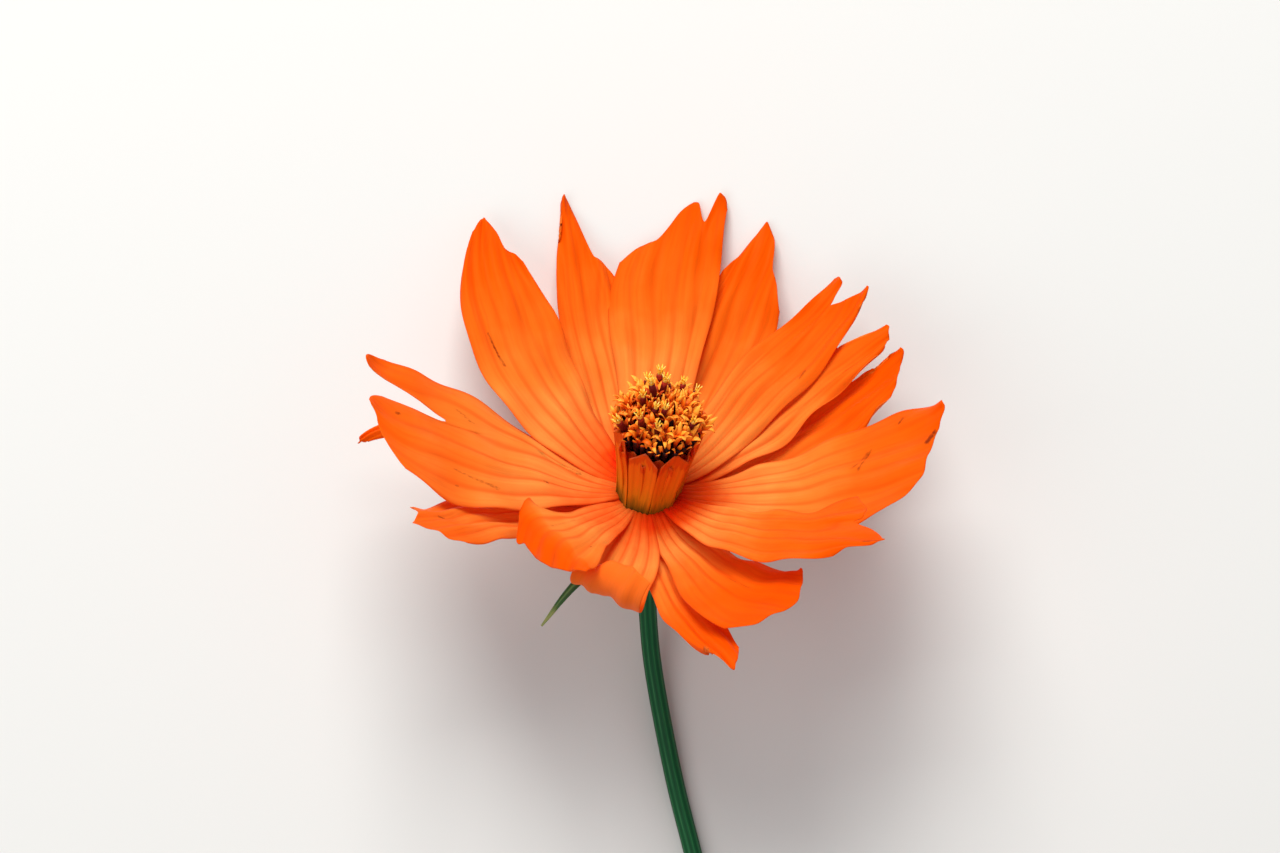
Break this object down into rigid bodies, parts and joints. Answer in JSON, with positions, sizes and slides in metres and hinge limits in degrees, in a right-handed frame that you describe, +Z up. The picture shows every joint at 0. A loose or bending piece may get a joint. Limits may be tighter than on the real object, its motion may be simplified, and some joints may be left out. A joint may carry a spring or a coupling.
{
  "type": "cosmos flower",
  "caption": "Open orange sulphur cosmos head on a cut green stem, lying on a surface with its rear petals and stem resting.",
  "frame": {"origin": "centre of the bounding box, on the surface that the flower lies on", "axes": "+Z up from the surface, +Y from the cut end of the stem towards the head, +X to the right seen from above"},
  "size_m": [0.0615, 0.1023, 0.0373],
  "materials": {
    "petal": "soft satin petal skin, paler towards the base, deeper orange at the tips",
    "bract": "matte dark green, ribbed",
    "inner_bract": "matte olive green with an orange margin",
    "scale": "thin translucent orange chaff, olive at the foot",
    "floret": "waxy orange-yellow lobes over dark brown anther tubes",
    "stem": "matte green, finely ribbed"
  },
  "bodies": {
    "root": {"receptacle": "bract", "petal_back_left": "petal", "petal_back_left_rear": "petal", "petal_back": "petal", "petal_back_right_rear": "petal", "petal_right_cleft": "petal", "petal_right_narrow": "petal", "petal_right_rear": "petal", "petal_right_broad": "petal", "petal_front_right": "petal", "petal_front_drooping": "petal", "petal_front_narrow": "petal", "petal_front_curled": "petal", "petal_front_left_cupped": "petal", "petal_left_rear": "petal", "petal_left_cleft": "petal", "petal_left_recurved": "petal", "outer_bract_1": "bract", "outer_bract_2": "bract", "outer_bract_3": "bract", "outer_bract_4": "bract", "outer_bract_5": "bract", "outer_bract_6": "bract", "outer_bract_7": "bract", "outer_bract_8": "bract", "inner_bract_1": "inner_bract", "inner_bract_2": "inner_bract", "inner_bract_3": "inner_bract", "inner_bract_4": "inner_bract", "inner_bract_5": "inner_bract", "inner_bract_6": "inner_bract", "inner_bract_7": "inner_bract", "inner_bract_8": "inner_bract", "column_scale_1": "scale", "column_scale_2": "scale", "column_scale_3": "scale", "column_scale_4": "scale", "column_scale_5": "scale", "column_scale_6": "scale", "column_scale_7": "scale", "column_scale_8": "scale", "disc_florets_inner": "floret", "disc_floret_1": "floret", "disc_floret_2": "floret", "disc_floret_3": "floret", "disc_floret_4": "floret", "disc_floret_5": "floret", "disc_floret_6": "floret", "disc_floret_7": "floret", "disc_floret_8": "floret", "disc_floret_9": "floret", "disc_floret_10": "floret", "disc_floret_11": "floret", "disc_floret_12": "floret", "stem": "stem"}
  },
  "joints": []
}
